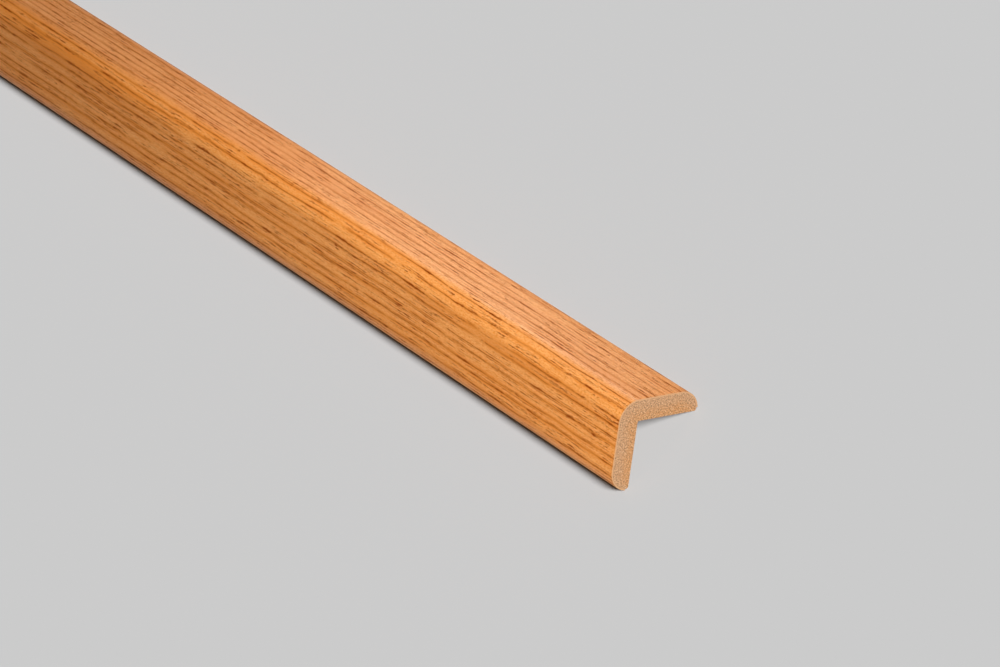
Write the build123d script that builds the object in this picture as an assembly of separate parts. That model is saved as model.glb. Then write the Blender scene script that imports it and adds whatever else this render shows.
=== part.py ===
from build123d import *
import os
from math import sqrt

# Corner angle moulding: a wood-fibre core of L section with a thin oak-look wrap over its outside.
# It lies as a tent on the back edges of its two legs, with the rounded ridge on top. The length
# runs along X, and the origin is on the floor, under the ridge, at mid length. Millimetres.

# Overall sizes
LENGTH = 2400.0     # one stock length, both ends sawn square
LEG = 25.0          # each leg, from the sharp outer corner to its nose, wrap included
WALL = 6.0          # thickness of each leg, wrap included, and radius of its nose, a full quarter round

# Other roundings
RIDGE_R = 5.5       # outer corner between the two legs, measured on the wrap
ROOT_R = 0.6        # inside corner of the core, which sits over the corner of the wall
ARRIS_R = 0.6       # eased back edge of the core under each nose, which the moulding lies on

# Wrap
WRAP_T = 0.4        # thickness of the wrap
WRAP_STOP = 0.3     # bare strip of core between the wrap's edge and the eased back edge

# Centre of the eased back edge, from the sharp outer corner: its depth below the outer face, and
# its reach along the leg, found from the nose's centre by the arm between the two centres
ARRIS_DEPTH = WALL - ARRIS_R
ARRIS_ARM = WALL - WRAP_T - ARRIS_R
ARRIS_REACH = LEG - WALL + sqrt(ARRIS_ARM**2 - ARRIS_R**2)

# Height of the sharp outer corner above the floor, with both eased edges touching it
RIDGE_Z = (ARRIS_REACH + ARRIS_DEPTH) / sqrt(2) + ARRIS_R

# The section is drawn with its sharp outer corner at the sketch's origin and a leg along each axis.
# This plane stands it across the length with both legs sloping down at 45 degrees.
SECTION = Plane(origin=(0, 0, RIDGE_Z), x_dir=(0, -1, -1), z_dir=(1, 0, 0))


def corner_square(depth, size):
    """A square whose near corner lies the given depth below both outer faces."""
    return Pos(depth, depth) * Rectangle(size, size, align=(Align.MIN, Align.MIN))


def near_corner(square):
    """The square's corner nearest to the sharp outer corner of the section."""
    return square.vertices().sort_by_distance((0, 0))[0]


def outside(depth):
    """The square of the two outer faces at a depth below the wrap's surface, ridge and noses rounded."""
    square = corner_square(depth, LEG - 2 * depth)
    noses = square.vertices().group_by(lambda v: abs(v.X - v.Y))[-1]
    square = fillet(noses, WALL - depth)
    return fillet(near_corner(square), RIDGE_R - depth)


def core_section():
    """The milled core: the rounded outside under the wrap, cut away behind both legs."""
    behind = corner_square(WALL, LEG)
    section = outside(WRAP_T) - fillet(near_corner(behind), ROOT_R)
    back_edges = section.vertices().sort_by_distance((0, 0))[-2:]
    return fillet(back_edges, ARRIS_R)


def wrap_section():
    """The wrap: a band of even thickness over the core's outside, stopped short of the back edges."""
    return outside(0) - outside(WRAP_T) - corner_square(ARRIS_DEPTH - WRAP_STOP, LEG)


def full_length(section):
    """Runs a section through the whole length, half of it each way from the middle."""
    return extrude(SECTION * section, amount=LENGTH / 2, both=True)


def main():
    os.makedirs("parts", exist_ok=True)
    export_step(full_length(core_section()), "parts/mdf_core.step")
    export_step(full_length(wrap_section()), "parts/oak_wrap.step")


main()
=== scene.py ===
from math import atan2, cos, pi, radians, sin, sqrt, tan

import bpy
import numpy as np
from bpy.props import FloatProperty, FloatVectorProperty, PointerProperty
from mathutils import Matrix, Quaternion, Vector


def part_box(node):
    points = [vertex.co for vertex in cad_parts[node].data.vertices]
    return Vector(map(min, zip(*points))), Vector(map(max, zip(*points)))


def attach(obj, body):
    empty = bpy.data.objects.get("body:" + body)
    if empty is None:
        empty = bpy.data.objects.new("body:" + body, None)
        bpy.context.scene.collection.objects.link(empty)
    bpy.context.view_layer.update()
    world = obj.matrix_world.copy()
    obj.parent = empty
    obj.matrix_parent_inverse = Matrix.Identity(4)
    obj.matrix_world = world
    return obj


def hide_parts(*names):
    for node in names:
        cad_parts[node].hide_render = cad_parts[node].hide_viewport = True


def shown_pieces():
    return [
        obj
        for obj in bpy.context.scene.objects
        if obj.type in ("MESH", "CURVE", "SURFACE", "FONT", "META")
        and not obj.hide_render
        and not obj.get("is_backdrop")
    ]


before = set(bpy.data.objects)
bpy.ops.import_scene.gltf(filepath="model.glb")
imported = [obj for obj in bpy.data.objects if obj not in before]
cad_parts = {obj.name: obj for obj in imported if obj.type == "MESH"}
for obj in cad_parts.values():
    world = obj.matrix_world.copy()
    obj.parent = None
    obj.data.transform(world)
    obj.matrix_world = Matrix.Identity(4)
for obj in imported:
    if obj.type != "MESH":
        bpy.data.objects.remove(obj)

bl_info = {
    "name": "Corner Angle Moulding",
    "version": (1, 0, 0),
    "blender": (4, 5, 0),
    "location": "3D View > Sidebar > Moulding",
    "description": "A length of corner angle moulding: wood-fibre core, oak-look wrap and studio floor",
    "category": "Add Mesh",
}

# Everything is in metres in the part's own frame: the length runs along X, the moulding lies as a tent
# on the floor at z = 0, and the ridge is on top. A section point is given by its distance along each
# leg from the sharp outer corner, leg 1 being the one on the +Y side. The end nearest to the camera
# is the one at +X, and the grain is placed by its distance from that end.

MM = 0.001
CORE_NODE = "mdf_core"
WRAP_NODE = "oak_wrap"
CORE_LOW, CORE_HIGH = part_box(CORE_NODE)
FIT = 0.15 * MM          # how far a piece's box may lie from its node's, whose round corners are coarser

# Names of the mesh data that the materials read
GRAIN_MAP = "grain_map"      # developed width and distance from the near end, in metres
CUT_FACE = "cut_face"        # 1 on sawn and trimmed faces, 0 elsewhere
BOARD_DEPTH = "board_depth"  # depth below the wrap as a share of the board, from 0 to 1

# Each piece's own flat layout for images made from its material, one unit square. The length is folded
# into rows, because as one strip 2.4 m long it would be too coarse to hold the grain.
FLAT_MAP = "OFBake"
FLAT_GAP = 0.004         # gap beside each row
WRAP_FOLDS = 6           # rows of the wrap, a divisor of its steps along the length
WRAP_ROWS_TOP = 0.972    # top of the wrap's rows, above which its sawn ends lie as two strips
STRIP_BOTTOMS = (0.976, 0.988)
STRIP_HEIGHT = 0.008
CORE_FOLDS = 4           # rows of the core, which lie above its two sawn ends
HIDDEN_WIDTH = 2 * MM    # the wrap's glued face, which is never seen, is squeezed to this width
TRIM_WIDTH = 1 * MM      # and its trimmed edges are laid out this wide

# How finely the section is drawn: steps on each nose, each outer face and each half of the ridge
WRAP_STEPS = (16, 6, 8)
CORE_STEPS = (28, 48, 14)
CORE_ROWS = 22           # steps through the board on the sawn ends
WRAP_RINGS = 480         # steps along the length
CORE_RINGS = 24
EASE_POWER = 16          # how fast the core's rows straighten out beside the eased back edges
SMOOTH_ANGLE = radians(40)

# Fine relief, all of it inwards
WRAP_WAVE = 0.02 * MM    # slow unevenness of the board that shows through the wrap
WAVE_ACROSS = 7 * MM
WAVE_ALONG = 60 * MM
WAVE_SEED = 4
SAWN_PIT = 0.05 * MM     # deepest pit between the fibre ends
PIT_SIZE = 0.28 * MM     # width of a pit
HOLLOW_SIZE = 1.1 * MM   # width of the shallow hollows that the pits lie in
HOLLOW_SHARE = 0.3       # what the hollows add to the depth, as a share of it
NEAR_END_SEED = 11
FAR_END_SEED = 21
LATTICE = 256            # heights of the value noise repeat after this many cells


def length(name, default, description):
    """A length in metres that the user may change."""
    return FloatProperty(name=name, description=description, default=default, min=0.0,
                         unit="LENGTH", subtype="DISTANCE", precision=5)


def share(name, default, description, top=1.0):
    """A plain number from 0 to its top."""
    return FloatProperty(name=name, description=description, default=default, min=0.0, max=top)


def angle(name, degrees, description):
    """An angle, given here in degrees."""
    return FloatProperty(name=name, description=description, default=radians(degrees),
                         unit="ROTATION", subtype="ANGLE")


def colour(name, default, description):
    """A colour in linear light."""
    return FloatVectorProperty(name=name, description=description, default=default, size=3,
                               min=0.0, max=1.0, subtype="COLOR")


class MouldingSizes(bpy.types.PropertyGroup):
    """Sizes of the milled section and its wrap."""
    stock: length("Length", CORE_HIGH.x - CORE_LOW.x, "One stock length, sawn square at both ends")
    leg: length("Leg", 25 * MM, "Each leg, from the sharp outer corner to its nose")
    wall: length("Wall", 6 * MM, "Thickness of each leg, and radius of its nose")
    ridge: length("Ridge Radius", 5.5 * MM, "Outer corner between the legs, on the wrap")
    root: length("Root Radius", 0.6 * MM, "Inside corner between the legs")
    arris: length("Arris Radius", 0.6 * MM, "Eased back edge under each nose")
    wrap: length("Wrap Thickness", 0.4 * MM, "Thickness of the oak-look wrap")
    bare: length("Bare Strip", 0.3 * MM, "Core left bare between the wrap and the eased edge")


class OakFinish(bpy.types.PropertyGroup):
    """Colours and grain of the oak-look wrap."""
    wood: colour("Wood", (0.885, 0.40, 0.12), "Ground colour of the lacquered wood")
    # the deep tone is also the colour of the painted shade in the first warm stretch
    deep: colour("Deep Wood", (0.72, 0.225, 0.028), "Darker tone that the ground drifts to")
    pore: colour("Pore", (0.28, 0.045, 0.0), "Colour of the open pores")
    edge: colour("Cut Edge", (0.88, 0.50, 0.25), "The wrap's own trimmed and sawn edge")
    rings: length("Ring Spacing", 2.65 * MM, "Distance between growth rings across the face")
    # The warm stretches are darker too; the first, centred 290 mm from the near end, is painted shade for
    # the far part of the camera's view.
    warm: length("Warm Spacing", 580 * MM, "Distance between the warmer stretches along the length")
    pore_depth: length("Pore Depth", 0.05 * MM, "How deep the pores are pressed in")
    gloss: share("Roughness", 0.42, "Roughness of the satin lacquer")
    ior: share("Lacquer IOR", 1.22, "How strongly the lacquer mirrors", top=2.0)


class BoardFinish(bpy.types.PropertyGroup):
    """Colours of the wood-fibre board."""
    pale: colour("Fibre", (0.71, 0.375, 0.185), "Sawn fibres in the middle of the board")
    warm: colour("Warm Fibre", (0.755, 0.34, 0.12), "Sawn fibres towards the back of the board")
    # painted shade in the gaps between sawn fibre ends, and also the deep end of the milled face's mottle
    dark: colour("Gap", (0.38, 0.19, 0.082), "Shade between the fibre ends")
    # painted highlight on single sawn fibre ends
    bright: colour("Bright Fibre", (0.95, 0.61, 0.34), "Single fibre ends that catch the light")
    milled: colour("Milled Face", (0.47, 0.28, 0.15), "The milled back faces")


class StageLight(bpy.types.PropertyGroup):
    """The floor, the light and the camera."""
    floor: colour("Floor", (0.25, 0.25, 0.25), "Colour of the floor")
    azimuth: angle("Azimuth", -11.0, "Camera's direction from the moulding, from +X towards +Y")
    elevation: angle("Elevation", 42.8075, "Camera's height above the horizon")
    roll: angle("Roll", 41.052, "Turn of the camera about its own line of sight, clockwise")
    distance: length("Distance", 1.18374, "From the camera to the point that it looks at")
    from_end: length("Aim From End", 51.891 * MM, "How far from the near end the camera looks")
    aside: length("Aim Aside", 1.662 * MM, "How far the camera looks beside the ridge, towards -Y")
    lens: FloatProperty(name="Lens", description="Focal length", default=166.55, unit="CAMERA")


# Section curves


def arc(centre, radius, start, stop, steps):
    """Circle points: centre + radius × (sin t, -cos t) for an angle t evenly spaced from start to stop."""
    t = np.linspace(start, stop, steps + 1)
    return np.stack([centre[0] + radius * np.sin(t), centre[1] - radius * np.cos(t)], axis=1)


def straight(start, stop, steps):
    """Evenly spaced points of a straight line: start × (1 - t) + stop × t."""
    t = np.linspace(0, 1, steps + 1)[:, None]
    return np.asarray(start) * (1 - t) + np.asarray(stop) * t


def whole(half):
    """A curve over both legs from its half over leg 1: the half, then its mirror image read backwards."""
    return np.vstack([half, half[-2::-1, ::-1]])


def outside(sizes, depth, nose_end, steps):
    """The outside at a depth below the wrap's surface, from one nose over the ridge to the other.

    Half of it is a nose arc of radius wall - depth from the angle nose_end to 0, the straight face,
    and a ridge arc of radius ridge - depth over the first 45 degrees.
    """
    nose = arc((sizes.leg - sizes.wall, sizes.wall), sizes.wall - depth, nose_end, 0, steps[0])
    ridge = arc((sizes.ridge, sizes.ridge), sizes.ridge - depth, 0, -pi / 4, steps[2])
    face = straight(nose[-1], ridge[0], steps[1])
    return whole(np.vstack([nose, face[1:-1], ridge]))


def arris_centre(sizes):
    """Centre of the eased back edge of leg 1: one arris radius from the back face and from the nose."""
    arm = sizes.wall - sizes.wrap - sizes.arris
    return sizes.leg - sizes.wall + sqrt(arm**2 - sizes.arris**2), sizes.wall - sizes.arris


def arris_angle(sizes):
    """Angle on the nose at which the eased back edge takes over, on the line through both centres."""
    reach, depth = arris_centre(sizes)
    return atan2(reach - (sizes.leg - sizes.wall), sizes.wall - depth)


def ridge_height(sizes):
    """Height of the sharp outer corner above the floor, with both eased edges touching the floor."""
    reach, depth = arris_centre(sizes)
    return (reach + depth) / sqrt(2) + sizes.arris


def back(sizes, steps):
    """The back of the core, drawn with as many points as the outside that lies opposite.

    Half of it is the back face below the nose, the back face below the outer face, and half of the
    root arc.
    """
    reach = arris_centre(sizes)[0]
    corner = sizes.wall + sizes.root
    nose = straight((reach, sizes.wall), (sizes.leg - sizes.wall, sizes.wall), steps[0])
    face = straight(nose[-1], (corner, sizes.wall), steps[1])
    root = arc((corner, corner), sizes.root, 0, -pi / 4, steps[2])
    return whole(np.vstack([nose, face[1:-1], root]))


def trim_angle(sizes, depth):
    """Angle on the nose at which the wrap is trimmed, by a plane that leaves the bare strip of core."""
    left = sizes.arris + sizes.bare
    return pi / 2 - np.arcsin(left / (sizes.wall - depth))


def stood(sizes, section, x):
    """Section points in space, with x as given.

    y = (along leg 1 - along leg 2) / √2, and z = ridge height - (along leg 1 + along leg 2) / √2.
    """
    y = (section[..., 0] - section[..., 1]) / sqrt(2)
    z = ridge_height(sizes) - (section[..., 0] + section[..., 1]) / sqrt(2)
    return np.stack([np.broadcast_to(x, y.shape), y, z], axis=-1)


# Surfaces


def value_noise(across, along, seed):
    """Smooth noise from 0 to 1: seeded heights on whole numbers, blended by 3t² - 2t³ each way."""
    heights = np.random.default_rng(seed).random((LATTICE, LATTICE))
    column, row = np.floor(across).astype(int), np.floor(along).astype(int)
    s, t = across - column, along - row
    s, t = s * s * (3 - 2 * s), t * t * (3 - 2 * t)

    def height(i, j):
        return heights[(column + i) % LATTICE, (row + j) % LATTICE]

    near = height(0, 0) * (1 - s) + height(1, 0) * s
    far = height(0, 1) * (1 - s) + height(1, 1) * s
    return near * (1 - t) + far * t


def quads(index):
    """Faces of a grid of vertex numbers, each corner joined down its column and then across.

    Where the columns run away from +X and the rows run round the section from leg 1 to leg 2, the
    faces point outwards.
    """
    return np.stack([index[:-1, :-1], index[1:, :-1], index[1:, 1:], index[:-1, 1:]], -1).reshape(-1, 4)


def closed(index):
    """A grid of vertex numbers whose last column is followed by the first."""
    return np.hstack([index, index[:, :1]])


def new_piece(name, points, faces, cut, node):
    """A mesh object on the body, in place of its CAD node, with sharp edges where faces meet steeply."""
    mesh = bpy.data.meshes.new(name)
    mesh.from_pydata(points.tolist(), [], faces.tolist())
    mesh.attributes.new(CUT_FACE, "FLOAT", "FACE").data.foreach_set("value", cut.astype(np.float32))
    mesh.set_sharp_from_angle(angle=SMOOTH_ANGLE)
    if mesh.validate():
        raise RuntimeError(f"{name} has faces that Blender had to mend")
    piece = bpy.data.objects.new(name, mesh)
    bpy.context.scene.collection.objects.link(piece)
    check_fit(piece, points, node)
    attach(piece, "root")
    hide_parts(node)
    return piece


def check_fit(piece, points, node):
    """Stops the build if a piece's box isn't its node's box."""
    low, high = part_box(node)
    gap = max(np.abs(points.min(0) - np.array(low)).max(), np.abs(points.max(0) - np.array(high)).max())
    if gap > FIT:
        raise RuntimeError(f"{piece.name} lies {gap / MM:.3f} mm off the box of {node}")


def lay_grain(mesh, across, along):
    """Stores the developed width and the distance along the grain as the piece's own map, in metres."""
    corner = np.empty(len(mesh.loops), np.int32)
    mesh.loops.foreach_get("vertex_index", corner)
    places = np.stack([across[corner], along[corner]], axis=1).astype(np.float32)
    mesh.uv_layers.new(name=GRAIN_MAP).uv.foreach_set("vector", places.ravel())


def folded(around, rings, folds, low, high):
    """Places on the flat map for the sides of a piece, with the length folded into rows.

    A row is (high - low) / folds high. Round the ring, a point lies at its share of that height from 0
    to 1, and each row's steps along the length run from side to side of the map.
    """
    step, count, height = np.arange(rings), rings // folds, (high - low) / folds
    start = FLAT_GAP + (1 - 2 * FLAT_GAP) * (step % count) / count
    stop = start + (1 - 2 * FLAT_GAP) / count
    rise = (height - FLAT_GAP) * around
    u = np.stack([start, stop, stop, start], axis=-1)[:, None]
    v = np.stack([rise[:-1], rise[:-1], rise[1:], rise[1:]], axis=-1)[None]
    base = low + height * (step // count)
    return np.stack(np.broadcast_arrays(u, base[:, None, None] + v), axis=-1).reshape(-1, 4, 2)


def lay_flat(mesh, places):
    """Stores the flat map from one place for each corner of each face."""
    mesh.uv_layers.new(name=FLAT_MAP).uv.foreach_set("vector", places.astype(np.float32).ravel())


def wrap_layout(outer, inner):
    """The wrap's flat map: its sides in folded rows, and above them a strip for each sawn end.

    Round the ring the outer curve keeps its width, and the inner one is squeezed to HIDDEN_WIDTH.
    """
    seen, hidden = (np.hypot(*np.diff(curve, axis=0).T) for curve in (outer, inner[::-1]))
    steps = np.r_[seen, TRIM_WIDTH, hidden * HIDDEN_WIDTH / hidden.sum(), TRIM_WIDTH]
    around = np.r_[0, np.cumsum(steps)] / steps.sum()
    layout = [folded(around, WRAP_RINGS, WRAP_FOLDS, FLAT_GAP, WRAP_ROWS_TOP)]

    n = len(outer)
    faces = quads(np.arange(2 * n).reshape(2, n))
    reach = np.r_[0, np.cumsum(seen)] / seen.sum()
    u = np.tile(1 - FLAT_GAP - (1 - 2 * FLAT_GAP) * reach, 2)
    for bottom in STRIP_BOTTOMS:
        v = np.repeat([bottom, bottom + STRIP_HEIGHT], n)
        layout.append(np.stack([u, v], axis=-1)[faces])
    return np.vstack(layout)


def wrap_piece(sizes):
    """The wrap as a closed band carried along the length.

    Each ring is the outer curve from one trimmed edge to the other, and the inner curve back. The
    outer curve sinks towards the inner one by a slow noise over width and length.
    """
    outer = outside(sizes, 0, trim_angle(sizes, 0), WRAP_STEPS)
    inner = outside(sizes, sizes.wrap, trim_angle(sizes, sizes.wrap), WRAP_STEPS)
    width = np.r_[0, np.cumsum(np.hypot(*np.diff(outer, axis=0).T))]
    down = np.linspace(0, sizes.stock, WRAP_RINGS + 1)
    sunk = WRAP_WAVE * value_noise(width[None] / WAVE_ACROSS, down[:, None] / WAVE_ALONG, WAVE_SEED)
    top = outer + (inner - outer) * (sunk / sizes.wrap)[..., None]
    under = np.broadcast_to(inner[::-1], top.shape)
    ring = np.concatenate([top, under], axis=1)
    points = stood(sizes, ring, sizes.stock / 2 - down[:, None])

    index = np.arange(points.shape[0] * points.shape[1]).reshape(points.shape[:2])
    n = len(outer)
    sides = quads(closed(index))
    near = quads(np.stack([index[0, :n - 1:-1], index[0, :n]]))
    far = quads(np.stack([index[-1, :n], index[-1, :n - 1:-1]]))
    trimmed = np.isin(np.arange(2 * n), [n - 1, 2 * n - 1])
    cut = np.r_[np.tile(trimmed, WRAP_RINGS), np.ones(len(near) + len(far))]
    faces = np.vstack([sides, near, far])

    piece = new_piece("oak_look_wrap", points.reshape(-1, 3), faces, cut, WRAP_NODE)
    across = np.tile(np.r_[width, width[::-1]], len(down))
    lay_grain(piece.data, across, np.repeat(down, 2 * n))
    lay_flat(piece.data, wrap_layout(outer, inner))
    return piece


def sawn_end(sizes):
    """Section points of the core's end as a grid, from the outside to the back through the board.

    Each row is (1 - t) × outside + t × back, and its two ends are moved onto the eased back edges, by a
    share that dies away from the edge.
    """
    outer = outside(sizes, sizes.wrap, arris_angle(sizes), CORE_STEPS)
    inner = back(sizes, CORE_STEPS)
    t = np.linspace(0, 1, CORE_ROWS + 1)[:, None, None]
    s = np.linspace(0, 1, len(outer))[None, :, None]
    grid = (1 - t) * outer + t * inner
    eased = arc(arris_centre(sizes), sizes.arris, arris_angle(sizes), pi, CORE_ROWS)
    bulge = (eased - grid[:, 0])[:, None]
    return grid + (1 - s)**EASE_POWER * bulge + s**EASE_POWER * bulge[..., ::-1]


def border(index):
    """The vertex numbers round a grid: first row, last column, last row backwards, first column back."""
    return np.r_[index[0, :-1], index[:-1, -1], index[-1, :0:-1], index[:0:-1, 0]]


def core_layout(section, rim, ends):
    """The core's flat map: both sawn ends side by side, and above them the sides in folded rows.

    An end shows as it is seen from outside, at one scale both ways, so the far one is mirrored.
    """
    span = np.ptp(section[:, 0] - section[:, 1])
    across = (section[:, 0] - section[:, 1]) / span
    up = -(section[:, 0] + section[:, 1]) / span
    half = 0.5
    wide = half - 2 * FLAT_GAP
    rise = FLAT_GAP + wide * (up - up.min())
    near = np.stack([half / 2 + wide * across, rise], axis=-1)
    far = np.stack([1 - half / 2 - wide * across, rise], axis=-1)
    edge = section[np.r_[rim, rim[0]]]
    around = np.r_[0, np.cumsum(np.hypot(*np.diff(edge, axis=0).T))]
    sides = folded(around / around[-1], CORE_RINGS, CORE_FOLDS, rise.max() + FLAT_GAP, 1.0)
    return np.vstack([sides, near[ends[:, ::-1]], far[ends]])


def core_piece(sizes):
    """The core as two sawn ends and the sides between them, which share the ends' border points.

    The sawn ends sink by the squares of two value noises, so that pits are few and fibre ends stand.
    """
    section = sawn_end(sizes)
    rows, columns = section.shape[:2]
    grid = np.arange(rows * columns).reshape(rows, columns)
    rim = border(grid)
    flat = section.reshape(-1, 2)

    def sunk(seed):
        pits = value_noise(flat[:, 0] / PIT_SIZE, flat[:, 1] / PIT_SIZE, seed)
        hollows = value_noise(flat[:, 0] / HOLLOW_SIZE, flat[:, 1] / HOLLOW_SIZE, seed + 1)
        return SAWN_PIT * ((1 - HOLLOW_SHARE) * pits**2 + HOLLOW_SHARE * hollows**2)

    near = stood(sizes, flat, sizes.stock / 2 - sunk(NEAR_END_SEED))
    far = stood(sizes, flat, sunk(FAR_END_SEED) - sizes.stock / 2)
    down = np.linspace(0, sizes.stock, CORE_RINGS + 1)[1:-1]
    between = stood(sizes, np.broadcast_to(flat[rim], (len(down), len(rim), 2)),
                    sizes.stock / 2 - down[:, None])
    points = np.vstack([near, far, between.reshape(-1, 3)])

    middle = 2 * len(flat) + np.arange(len(down) * len(rim)).reshape(len(down), -1)
    sides = quads(closed(np.vstack([rim, middle, rim + len(flat)])))
    ends = quads(grid)
    faces = np.vstack([sides, ends[:, ::-1], ends + len(flat)])
    cut = np.r_[np.zeros(len(sides)), np.ones(2 * len(ends))]

    piece = new_piece("fibre_board_core", points, faces, cut, CORE_NODE)
    depth = np.repeat(np.linspace(0, 1, rows), columns)
    depths = np.r_[depth, depth, np.tile(depth[rim], len(down))].astype(np.float32)
    piece.data.attributes.new(BOARD_DEPTH, "FLOAT", "POINT").data.foreach_set("value", depths)
    lay_flat(piece.data, core_layout(flat, rim, ends))
    return piece


# Shader nodes

# Lines of pores. A band width is half the band round a line, which each use of the lines gives in
# millimetres. Two numbers that belong to a noise are where its effect begins and where it is full.
LINE_PLACE = (0.36, 0.64)        # where a line lies in its ring, as a share of the ring
LINE_SWAY = 2.2                  # how far it sways, in band widths
BAR_AT_NO_COVER = 0.57           # density noise from which a line begins to show
BAR_DROP = 0.35                  # how far full cover lowers it
BAR_RAMP = 0.24                  # from there to full density
SWELL_NOISE = (0.5, 0.72)
SWELL = (0.75, 2.4)              # reach of its thin and its swollen parts, in band widths
HEART = 0.1                      # share of that reach in which the pores are densest
PORE_LEVEL = (0.74, 0.30)        # fibre noise that opens a pore, at the band's rim and at its heart
PORE_EDGE = (0.03, 0.04)         # softness of a pore's edge below and above that level
VIGOUR_NOISE = (0.35, 0.58)
FAINTEST = 0.4                   # strength of a faint line
SHADE_REACH = (0.9, 0.1)         # where the darker wood beside a line begins and is full, in millimetres

# The oak's grain and tones
BEND = 1.6                       # how far slow bends carry the grain aside, in millimetres
WOBBLE = 0.3                     # and how far short ones do
STRAYS_PER_RING = 2.4
HAIRS_PER_RING = 4.3
STRAY_NOISE = (0.42, 0.58)       # patches that strays and hairs keep to
HAIR_NOISE = (0.45, 0.6)
SPARSE = 0.15                    # and their strength outside them
DRIFT_SHARE = 0.8                # deepness of the wood from its slow drift,
SHADE_SHARE = 0.4                # from the shade beside the lines
WARM_SHADE_SHARE = 0.2                 # and from the warm stretches, the first of them painted shade
WARM_POWER = 8.0                 # an even power of a sine: the higher, the shorter the warm stretches
DEEPENING = (0.25, 1.0)          # deepness at which the deep tone begins and is full
STREAK_NOISE = (0.4, 0.75)
STREAK_SHARE = 0.5               # how far the streaks take the wood to its deep tone
TOOTH_NOISE = (0.47, 0.64)
TOOTH_HEIGHT = 0.3               # height of the fine tooth, as a share of the pores' depth
PORE_ROUGHNESS = 0.9
CUT_ROUGHNESS = 0.8

# The board
LAYER_NOISE = 0.5                # unevenness of the step from pale to warm fibre, as a share of the board
LAYER_STEP = (0.45, 1.1)         # where that step begins and ends, unevenness and all
SPECK_SIZE = 0.38                # in millimetres
SPECK_DEPTH = 0.03 * MM
SPECK_STRENGTH = 0.6
GAP_SHADE_NOISE = (0.53, 0.70)         # speckle painted as shade in the gaps between the fibres
FIBRE_HIGHLIGHT_NOISE = (0.48, 0.32)      # and as painted highlights on single fibre ends
MOTTLE_NOISE = (0.3, 0.8)
MILLED_MOTTLE = 0.35             # how far the milled face's mottle goes to the dark tone
BOARD_ROUGHNESS = 0.85


def add(tree, kind, inputs=(), **settings):
    """Adds a node with its settings, and fills each named input with a value or a link."""
    made = tree.nodes.new(kind)
    for key, value in settings.items():
        setattr(made, key, value)
    for key, value in dict(inputs).items():
        if isinstance(value, bpy.types.NodeSocket):
            tree.links.new(value, made.inputs[key])
        else:
            made.inputs[key].default_value = value
    return made


def maths(tree, operation, *values):
    """One arithmetic step on numbers or sockets."""
    return add(tree, "ShaderNodeMath", enumerate(values), operation=operation).outputs[0]


def pair(tree, x, y, z=0.0):
    """Numbers or sockets as a vector."""
    return add(tree, "ShaderNodeCombineXYZ", {"X": x, "Y": y, "Z": z}).outputs[0]


def cells(tree, parts, across, along):
    """Noise coordinates with so many cells in a millimetre across the grain and along it."""
    return pair(tree, maths(tree, "MULTIPLY", parts["X"], across),
                maths(tree, "MULTIPLY", parts["Y"], along))


def noise(tree, vector, detail=2.0, roughness=0.5):
    """Smooth noise about one cell in size, from 0 to 1, in two dimensions."""
    return add(tree, "ShaderNodeTexNoise", {"Vector": vector, "Scale": 1.0, "Detail": detail,
               "Roughness": roughness}, noise_dimensions="2D").outputs["Fac"]


def remap(tree, value, low, high, to_low=0.0, to_high=1.0, smooth=True):
    """A value between two ends taken to two other ends, held there outside them."""
    return add(tree, "ShaderNodeMapRange", {"Value": value, "From Min": low, "From Max": high,
               "To Min": to_low, "To Max": to_high},
               interpolation_type="SMOOTHSTEP" if smooth else "LINEAR").outputs["Result"]


def blend(tree, factor, first, second):
    """Two colours mixed by a factor."""
    return add(tree, "ShaderNodeMix", {0: factor, 6: first, 7: second}, data_type="RGBA").outputs[2]


def solid(rgb):
    """A colour with full alpha for a colour socket."""
    return (*rgb, 1.0)


def group(name, inputs, outputs):
    """An empty shader node group with its sockets, and its input and output nodes."""
    tree = bpy.data.node_groups.new(name, "ShaderNodeTree")
    for label, kind, default in inputs:
        socket = tree.interface.new_socket(name=label, in_out="INPUT", socket_type=kind)
        if default is not None:
            socket.default_value = default
    for label in outputs:
        tree.interface.new_socket(name=label, in_out="OUTPUT", socket_type="NodeSocketFloat")
    return tree, tree.nodes.new("NodeGroupInput").outputs, tree.nodes.new("NodeGroupOutput").inputs


def use(tree, grouped, **inputs):
    """Places a group with its own values; an input's spaces are written as underscores."""
    labels = {key.replace("_", " "): value for key, value in inputs.items()}
    return add(tree, "ShaderNodeGroup", labels, node_tree=grouped).outputs


def own_noise(tree, along, seeded, stretch, apart, detail=2.0):
    """A ring's own noise along its length. The rings read it on parallel lines that lie so far apart."""
    return noise(tree, pair(tree, maths(tree, "MULTIPLY", along, stretch),
                            maths(tree, "MULTIPLY", seeded, apart)), detail)


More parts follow.
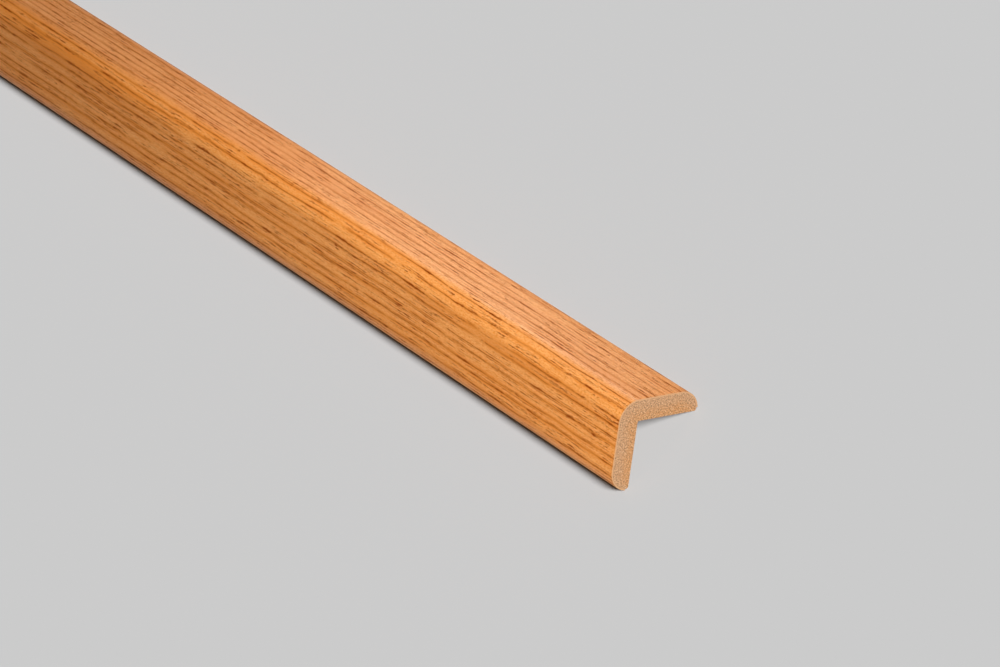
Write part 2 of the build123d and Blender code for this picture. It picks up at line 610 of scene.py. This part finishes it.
def ring_lines_group():
    """Lines of pores along the growth rings, running along Y, all in millimetres.

    Each ring has its own place beside the even spacing, and its own noise along the length for the
    line's sway, its density and where it swells. In the band round the line the fibre noise is cut at
    a level that falls as the band gets denser, so that dense parts close up and thin parts break into
    single pores.
    """
    number = "NodeSocketFloat"
    tree, given, out = group("ring_lines", [
        ("Place", "NodeSocketVector", None), ("Spacing", number, 2.6), ("Phase", number, 0.0),
        ("Band", number, 0.4), ("Dash Length", number, 16.0), ("Cover", number, 0.8),
        ("Seed", number, 1.0)], ["Mask", "Shade"])
    place = add(tree, "ShaderNodeSeparateXYZ", {0: given["Place"]}).outputs
    row = maths(tree, "ADD", maths(tree, "DIVIDE", place["X"], given["Spacing"]), given["Phase"])
    ring = maths(tree, "FLOOR", row)
    seeded = maths(tree, "ADD", ring, given["Seed"])
    own = add(tree, "ShaderNodeTexWhiteNoise", {"W": seeded}, noise_dimensions="1D").outputs["Value"]
    middle = remap(tree, own, 0.0, 1.0, *LINE_PLACE, smooth=False)
    along = maths(tree, "DIVIDE", place["Y"], given["Dash Length"])
    sway = own_noise(tree, along, seeded, stretch=1.9, apart=3.7)
    swayed = maths(tree, "MULTIPLY", maths(tree, "SUBTRACT", sway, 0.5), given["Band"])
    aside = maths(tree, "SUBTRACT", maths(tree, "FRACT", row), middle)
    aside = maths(tree, "ADD", maths(tree, "MULTIPLY", aside, given["Spacing"]),
                  maths(tree, "MULTIPLY", swayed, LINE_SWAY))
    far = maths(tree, "ABSOLUTE", aside)

    wander = own_noise(tree, along, seeded, stretch=1.0, apart=7.3, detail=3.0)
    bar = maths(tree, "SUBTRACT", BAR_AT_NO_COVER, maths(tree, "MULTIPLY", given["Cover"], BAR_DROP))
    dense = remap(tree, wander, bar, maths(tree, "ADD", bar, BAR_RAMP))
    bulge = own_noise(tree, along, seeded, stretch=2.2, apart=5.1)
    swell = maths(tree, "MULTIPLY", remap(tree, bulge, *SWELL_NOISE, *SWELL), given["Band"])

    fibres = noise(tree, cells(tree, place, across=4.0, along=0.9), detail=3.0, roughness=0.75)
    band = maths(tree, "MULTIPLY", remap(tree, far, swell, maths(tree, "MULTIPLY", swell, HEART)), dense)
    level = remap(tree, band, 0.0, 1.0, *PORE_LEVEL, smooth=False)
    pores = remap(tree, fibres, maths(tree, "SUBTRACT", level, PORE_EDGE[0]),
                  maths(tree, "ADD", level, PORE_EDGE[1]))
    vigour = own_noise(tree, along, seeded, stretch=0.9, apart=9.1)
    strength = remap(tree, vigour, *VIGOUR_NOISE, FAINTEST, 1.0)
    tree.links.new(maths(tree, "MULTIPLY", pores, strength), out["Mask"])
    tree.links.new(maths(tree, "MULTIPLY", remap(tree, far, *SHADE_REACH), dense), out["Shade"])
    return tree


def slow_tone_group():
    """Slow drift from 0 to 1 over cells of a given width and length, in millimetres."""
    number = "NodeSocketFloat"
    tree, given, out = group("slow_tone", [("Place", "NodeSocketVector", None), ("Width", number, 10.0),
                                           ("Length", number, 100.0)], ["Value"])
    cell = pair(tree, given["Width"], given["Length"], 1.0)
    place = add(tree, "ShaderNodeVectorMath", {0: given["Place"], 1: cell}, operation="DIVIDE").outputs[0]
    tree.links.new(noise(tree, place, detail=3.0), out["Value"])
    return tree


def millimetres(tree, metres):
    """A place in metres as millimetres."""
    return add(tree, "ShaderNodeVectorMath", {0: metres, "Scale": 1 / MM}, operation="SCALE").outputs[0]


def cut_mask(tree):
    """1 on sawn and trimmed faces."""
    return add(tree, "ShaderNodeAttribute", attribute_name=CUT_FACE).outputs["Fac"]


def new_material(name):
    """A material with only an output, and its shader."""
    material = bpy.data.materials.new(name)
    material.use_nodes = True
    tree = material.node_tree
    tree.nodes.clear()
    shader = tree.nodes.new("ShaderNodeBsdfPrincipled")
    output = tree.nodes.new("ShaderNodeOutputMaterial")
    tree.links.new(shader.outputs[0], output.inputs["Surface"])
    return material, tree, shader


def bent_grain(tree, tone, place, parts):
    """The place on the grain map with the grain carried aside by slow bends and short wobbles."""
    bend = use(tree, tone, Place=place, Width=20.0, Length=60.0)["Value"]
    wobble = use(tree, tone, Place=place, Width=3.0, Length=9.0)["Value"]
    aside = maths(tree, "ADD", maths(tree, "MULTIPLY", bend, BEND),
                  maths(tree, "MULTIPLY", wobble, WOBBLE))
    return pair(tree, maths(tree, "ADD", parts["X"], aside), parts["Y"])


def oak_pores(tree, oak, groups, place, grain):
    """The mask of ring lines, stray lines and fine hairs together, and the shade beside ring lines.

    Strays and hairs are at full strength only in patches of their own.
    """
    lines, tone, spacing = groups["ring_lines"], groups["slow_tone"], oak.rings / MM
    rings = use(tree, lines, Place=grain, Spacing=spacing, Phase=0.9, Band=0.21, Dash_Length=17.0,
                Cover=1.0, Seed=3.0)
    strays = use(tree, lines, Place=grain, Spacing=spacing / STRAYS_PER_RING, Phase=0.2, Band=0.17,
                 Dash_Length=9.0, Cover=0.8, Seed=17.0)
    hairs = use(tree, lines, Place=grain, Spacing=spacing / HAIRS_PER_RING, Phase=0.7, Band=0.12,
                Dash_Length=5.0, Cover=0.7, Seed=41.0)
    cluster = use(tree, tone, Place=place, Width=5.0, Length=26.0)["Value"]
    patch = use(tree, tone, Place=grain, Width=2.2, Length=14.0)["Value"]
    among = maths(tree, "MULTIPLY", strays["Mask"], remap(tree, cluster, *STRAY_NOISE, SPARSE, 1.0))
    fine = maths(tree, "MULTIPLY", hairs["Mask"], remap(tree, patch, *HAIR_NOISE, SPARSE, 1.0))
    pores = maths(tree, "MAXIMUM", rings["Mask"], maths(tree, "MAXIMUM", among, fine))
    return pores, rings["Shade"]


def oak_ground(tree, oak, tone, place, parts, shade, tooth):
    """The ground colour between the pores, taken from the wood's own tone to its deep one.

    A slow drift, the shade beside the ring lines and the warm stretches do so together, and then the
    fine streaks and the tooth. The first warm stretch, centred 290 mm from the near end, is painted
    shade that darkens the far part of the camera's view.
    """
    drift = use(tree, tone, Place=place, Width=6.0, Length=110.0)["Value"]
    streak = noise(tree, cells(tree, parts, across=5.0, along=0.2), detail=3.0, roughness=0.65)
    # warmer, darker stretches every warm spacing along the length; the first, centred 290 mm from the near
    # end, is painted shade
    wave = maths(tree, "SINE", maths(tree, "MULTIPLY", parts["Y"], pi * MM / oak.warm))
    warm = maths(tree, "MULTIPLY", maths(tree, "POWER", wave, WARM_POWER), WARM_SHADE_SHARE)
    deepness = maths(tree, "ADD", maths(tree, "MULTIPLY", drift, DRIFT_SHARE),
                     maths(tree, "MULTIPLY", shade, SHADE_SHARE))
    deepness = maths(tree, "ADD", deepness, warm)
    deep = solid(oak.deep)
    ground = blend(tree, remap(tree, deepness, *DEEPENING), solid(oak.wood), deep)
    ground = blend(tree, remap(tree, streak, *STREAK_NOISE, 0.0, STREAK_SHARE), ground, deep)
    return blend(tree, remap(tree, tooth, *TOOTH_NOISE), ground, deep)


def oak_material(oak, groups):
    """Satin oak: drifting ground colour, pressed pores, fine tooth, and plain cut edges."""
    material, tree, shader = new_material("satin_oak")
    tone = groups["slow_tone"]
    place = millimetres(tree, add(tree, "ShaderNodeUVMap", uv_map=GRAIN_MAP).outputs[0])
    parts = add(tree, "ShaderNodeSeparateXYZ", {0: place}).outputs
    grain = bent_grain(tree, tone, place, parts)
    pores, shade = oak_pores(tree, oak, groups, place, grain)
    tooth = noise(tree, cells(tree, parts, across=2.8, along=1.5), detail=2.0, roughness=0.7)
    ground = oak_ground(tree, oak, tone, place, parts, shade, tooth)

    wood = blend(tree, pores, ground, solid(oak.pore))
    cut = cut_mask(tree)
    tree.links.new(blend(tree, cut, wood, solid(oak.edge)), shader.inputs["Base Color"])
    rough = remap(tree, pores, 0.0, 1.0, oak.gloss, PORE_ROUGHNESS)
    tree.links.new(maths(tree, "MAXIMUM", rough, maths(tree, "MULTIPLY", cut, CUT_ROUGHNESS)),
                   shader.inputs["Roughness"])
    shader.inputs["IOR"].default_value = oak.ior
    height = maths(tree, "SUBTRACT", maths(tree, "MULTIPLY", tooth, TOOTH_HEIGHT), pores)
    bump = add(tree, "ShaderNodeBump", {"Strength": 1.0, "Distance": oak.pore_depth, "Height": height})
    tree.links.new(bump.outputs[0], shader.inputs["Normal"])
    return material


def board_material(board, groups):
    """Wood-fibre board: speckled fibre ends where it is sawn, with painted shade between them and painted
    highlights on single ones, and a closed, browner milled face.
    """
    material, tree, shader = new_material("fibre_board")
    tone = groups["slow_tone"]
    place = millimetres(tree, add(tree, "ShaderNodeTexCoord").outputs["Object"])
    parts = add(tree, "ShaderNodeSeparateXYZ", {0: place}).outputs
    end = pair(tree, parts["Y"], parts["Z"])
    depth = add(tree, "ShaderNodeAttribute", attribute_name=BOARD_DEPTH).outputs["Fac"]
    uneven = use(tree, tone, Place=end, Width=4.0, Length=4.0)["Value"]
    layer = maths(tree, "ADD", depth, maths(tree, "MULTIPLY", uneven, LAYER_NOISE))
    fibre = blend(tree, remap(tree, layer, *LAYER_STEP), solid(board.pale), solid(board.warm))

    speck = use(tree, tone, Place=end, Width=SPECK_SIZE, Length=SPECK_SIZE)["Value"]
    # painted shade in the gaps between fibre ends, from the speckle that also gives the bump
    sawn = blend(tree, remap(tree, speck, *GAP_SHADE_NOISE), fibre, solid(board.dark))
    # painted highlights on single fibre ends, from the same speckle
    sawn = blend(tree, remap(tree, speck, *FIBRE_HIGHLIGHT_NOISE), sawn, solid(board.bright))
    mottle = use(tree, tone, Place=place, Width=2.5, Length=1.2)["Value"]
    mottled = remap(tree, mottle, *MOTTLE_NOISE, 0.0, MILLED_MOTTLE)
    milled = blend(tree, mottled, solid(board.milled), solid(board.dark))
    tree.links.new(blend(tree, cut_mask(tree), milled, sawn), shader.inputs["Base Color"])
    shader.inputs["Roughness"].default_value = BOARD_ROUGHNESS
    bump = add(tree, "ShaderNodeBump", {"Strength": SPECK_STRENGTH, "Distance": SPECK_DEPTH,
                                        "Height": speck})
    tree.links.new(bump.outputs[0], shader.inputs["Normal"])
    return material


# Stage

# Each level is the light that reaches a surface facing the lamp, or for the broad lamps a level surface.
# At a level of 1 a colour shows as it is written. On the moulding the levels add up to about 1, and the
# floor, whose colour is darker than it should look so that it throws less light back, has more light.
WORLD_LIGHT = 0.08           # even light from all round
FLOOR_LOOK = 0.597           # brightness of the lit floor, which the world shows beyond its edge
FLOOR_SIZE = 120.0

# Broad lamps, low from the near end so that they reach in under the moulding: one for everything, and
# one for the floor alone
BROAD_LEVEL = 0.20
FLOOR_LEVEL = 2.11
BROAD_AZIMUTH = radians(7)
BROAD_ELEVATION = radians(36)
BROAD_SOFTNESS = radians(17)

# A long level lamp close above the moulding alone, for the length that the near lamps don't reach
LENGTH_LEVEL = 0.70
LENGTH_FROM_END = 0.365
LENGTH_HEIGHT = 0.20
LENGTH_WIDTH = 0.25
LENGTH_SPREAD = radians(60)

# Lamps for the moulding alone, which face the sawn end: one above it, one beside leg 2, and a narrow
# one low behind leg 1 that gives this leg its sheen
TOP_LEVEL = 0.645
TOP_FROM_END = 0.105
TOP_ASIDE = 0.13
TOP_HEIGHT = 0.27
TOP_SIZE = 0.14
SIDE_LEVEL = 0.60
SIDE_AZIMUTH = radians(-60)
SIDE_ELEVATION = radians(45)
SIDE_DISTANCE = 0.35
SIDE_SIZE = 0.16
BACK_LEVEL = 0.27
BACK_AZIMUTH = radians(136)
BACK_ELEVATION = radians(5)
BACK_DISTANCE = 0.90
BACK_SIZE = 0.14
BACK_SPREAD = radians(29)


def floor_piece(stage):
    """A level square floor round the moulding."""
    half = FLOOR_SIZE / 2
    corners = [(-half, -half, 0), (half, -half, 0), (half, half, 0), (-half, half, 0)]
    mesh = bpy.data.meshes.new("studio_floor")
    mesh.from_pydata(corners, [], [(0, 1, 2, 3)])
    floor = bpy.data.objects.new("studio_floor", mesh)
    bpy.context.scene.collection.objects.link(floor)
    floor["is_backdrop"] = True
    material, tree, shader = new_material("studio_floor")
    shader.inputs["Base Color"].default_value = solid(stage.floor)
    shader.inputs["Roughness"].default_value = 1.0
    shader.inputs["Specular IOR Level"].default_value = 0.0
    mesh.materials.append(material)
    return floor


def world_light():
    """Even light all round, which cameras, gloss and glass see as bright as the lit floor."""
    world = bpy.data.worlds.new("studio")
    bpy.context.scene.world = world
    world.use_nodes = True
    tree = world.node_tree
    tree.nodes.clear()
    path = add(tree, "ShaderNodeLightPath").outputs
    seen = maths(tree, "MAXIMUM", path["Is Camera Ray"],
                 maths(tree, "MAXIMUM", path["Is Glossy Ray"], path["Is Transmission Ray"]))
    level = remap(tree, seen, 0.0, 1.0, WORLD_LIGHT, FLOOR_LOOK, smooth=False)
    shader = add(tree, "ShaderNodeBackground", {"Color": solid((1, 1, 1)), "Strength": level})
    output = tree.nodes.new("ShaderNodeOutputWorld")
    tree.links.new(shader.outputs[0], output.inputs["Surface"])


def direction(azimuth, elevation):
    """The direction at an azimuth from +X towards +Y and a height above the horizon."""
    return Vector((cos(elevation) * cos(azimuth), cos(elevation) * sin(azimuth), sin(elevation)))


def add_lamp(name, kind, place, towards, lit=()):
    """A lamp at a place that shines back along a direction, on the given objects or on all of them."""
    lamp = bpy.data.objects.new(name, bpy.data.lights.new(name, kind))
    lamp.visible_camera = False
    lamp.location = place
    lamp.rotation_mode = "QUATERNION"
    lamp.rotation_quaternion = towards.to_track_quat("Z", "Y")
    bpy.context.scene.collection.objects.link(lamp)
    if lit:
        receivers = bpy.data.collections.new(f"lit_by_{name}")
        for thing in lit:
            receivers.objects.link(thing)
        lamp.light_linking.receiver_collection = receivers
    return lamp


def broad_lamp(name, towards, level, softness, lit=()):
    """A soft lamp far away, with a level on surfaces that face it."""
    lamp = add_lamp(name, "SUN", towards, towards, lit)
    lamp.data.energy = level * pi
    lamp.data.angle = softness


def round_lamp(name, start, offset, level, size, lit, spread=pi):
    """A round lamp at an offset from a point that it faces, with a level on a surface that faces it.

    Power = level × π² × distance² / narrowing. Its grid lets light out up to half the spread s to each
    side, and makes it stronger straight ahead by the narrowing, tan(s/2) / (tan(s/2) - s/2).
    """
    lamp = add_lamp(name, "AREA", start + offset, offset, lit)
    lamp.data.shape = "DISK"
    lamp.data.size = size
    lamp.data.spread = spread
    narrowing = tan(spread / 2) / (tan(spread / 2) - spread / 2)
    lamp.data.energy = level * (pi * offset.length)**2 / narrowing


def length_lamp(sizes, pieces):
    """A long level lamp whose grid keeps its light below it: power = level × π × its area."""
    long = sizes.stock - LENGTH_FROM_END
    above = Vector((-LENGTH_FROM_END / 2, 0, LENGTH_HEIGHT))
    lamp = add_lamp("length_lamp", "AREA", above, Vector((0, 0, 1)), pieces)
    lamp.data.shape = "RECTANGLE"
    lamp.data.size = long
    lamp.data.size_y = LENGTH_WIDTH
    lamp.data.spread = LENGTH_SPREAD
    lamp.data.energy = LENGTH_LEVEL * pi * long * LENGTH_WIDTH


def studio_lamps(sizes, floor, pieces):
    """The broad lamps, the lamp over the length, and the three lamps that face the sawn end."""
    towards = direction(BROAD_AZIMUTH, BROAD_ELEVATION)
    broad_lamp("broad_lamp", towards, BROAD_LEVEL / towards.z, BROAD_SOFTNESS)
    broad_lamp("floor_lamp", towards, FLOOR_LEVEL / towards.z, BROAD_SOFTNESS, [floor])
    length_lamp(sizes, pieces)
    end = Vector((sizes.stock / 2, 0, 0))
    below = end - Vector((TOP_FROM_END, 0, 0))
    round_lamp("top_lamp", below, Vector((0, TOP_ASIDE, TOP_HEIGHT)), TOP_LEVEL, TOP_SIZE, pieces)
    beside = SIDE_DISTANCE * direction(SIDE_AZIMUTH, SIDE_ELEVATION)
    round_lamp("side_lamp", end, beside, SIDE_LEVEL, SIDE_SIZE, pieces)
    behind = BACK_DISTANCE * direction(BACK_AZIMUTH, BACK_ELEVATION)
    round_lamp("back_lamp", end, behind, BACK_LEVEL, BACK_SIZE, pieces, BACK_SPREAD)


def place_camera(sizes, stage):
    """The camera stands off from its aim by the distance, and is turned clockwise by the roll."""
    towards = direction(stage.azimuth, stage.elevation)
    ridge_top = ridge_height(sizes) - (sqrt(2) - 1) * sizes.ridge
    aim = Vector((sizes.stock / 2 - stage.from_end, -stage.aside, ridge_top))
    camera = bpy.data.objects.new("camera", bpy.data.cameras.new("camera"))
    camera.data.lens = stage.lens
    camera.location = aim + stage.distance * towards
    camera.rotation_mode = "QUATERNION"
    camera.rotation_quaternion = towards.to_track_quat("Z", "Y") @ Quaternion((0, 0, 1), -stage.roll)
    camera.data.clip_end = 2 * FLOOR_SIZE
    bpy.context.scene.collection.objects.link(camera)
    bpy.context.scene.camera = camera


# Operators, panel and main


def shared_groups():
    """The node groups that the materials share, made once."""
    makers = {"ring_lines": ring_lines_group, "slow_tone": slow_tone_group}
    return {name: bpy.data.node_groups.get(name) or make() for name, make in makers.items()}


class MOULDING_OT_mill_core(bpy.types.Operator):
    """Mills the wood-fibre core and saws it to length"""
    bl_idname = "moulding.mill_core"
    bl_label = "Mill Core"

    def execute(self, context):
        scene = context.scene
        piece = core_piece(scene.moulding_sizes)
        piece.data.materials.append(board_material(scene.board_finish, shared_groups()))
        return {"FINISHED"}


class MOULDING_OT_lay_wrap(bpy.types.Operator):
    """Lays the oak-look wrap over the outside of the core"""
    bl_idname = "moulding.lay_wrap"
    bl_label = "Lay Wrap"

    def execute(self, context):
        scene = context.scene
        piece = wrap_piece(scene.moulding_sizes)
        piece.data.materials.append(oak_material(scene.oak_finish, shared_groups()))
        return {"FINISHED"}


class MOULDING_OT_set_stage(bpy.types.Operator):
    """Sets the floor, the soft light and the camera"""
    bl_idname = "moulding.set_stage"
    bl_label = "Set Stage"

    def execute(self, context):
        scene = context.scene
        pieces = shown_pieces()
        floor = floor_piece(scene.stage_light)
        world_light()
        studio_lamps(scene.moulding_sizes, floor, pieces)
        place_camera(scene.moulding_sizes, scene.stage_light)
        scene.view_settings.view_transform = "Standard"
        return {"FINISHED"}


class MOULDING_PT_sidebar(bpy.types.Panel):
    """The moulding's operators and settings"""
    bl_label = "Corner Angle Moulding"
    bl_space_type = "VIEW_3D"
    bl_region_type = "UI"
    bl_category = "Moulding"

    def draw(self, context):
        for operator in OPERATORS:
            self.layout.operator(operator.bl_idname)
        for name, kind in SETTINGS.items():
            box = self.layout.box()
            for prop in kind.bl_rna.properties:
                if not prop.is_readonly and prop.identifier != "name":
                    box.prop(getattr(context.scene, name), prop.identifier)


SETTINGS = {"moulding_sizes": MouldingSizes, "oak_finish": OakFinish, "board_finish": BoardFinish,
            "stage_light": StageLight}
OPERATORS = (MOULDING_OT_mill_core, MOULDING_OT_lay_wrap, MOULDING_OT_set_stage)


def register():
    for kind in (*SETTINGS.values(), *OPERATORS, MOULDING_PT_sidebar):
        bpy.utils.register_class(kind)
    for name, kind in SETTINGS.items():
        setattr(bpy.types.Scene, name, PointerProperty(type=kind))


def unregister():
    for name in SETTINGS:
        delattr(bpy.types.Scene, name)
    for kind in (MOULDING_PT_sidebar, *reversed(OPERATORS), *reversed(SETTINGS.values())):
        bpy.utils.unregister_class(kind)


def main():
    """Builds the dressed moulding and its stage."""
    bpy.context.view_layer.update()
    register()
    bpy.ops.moulding.mill_core()
    bpy.ops.moulding.lay_wrap()
    bpy.ops.moulding.set_stage()


if __name__ == "__main__":
    main()
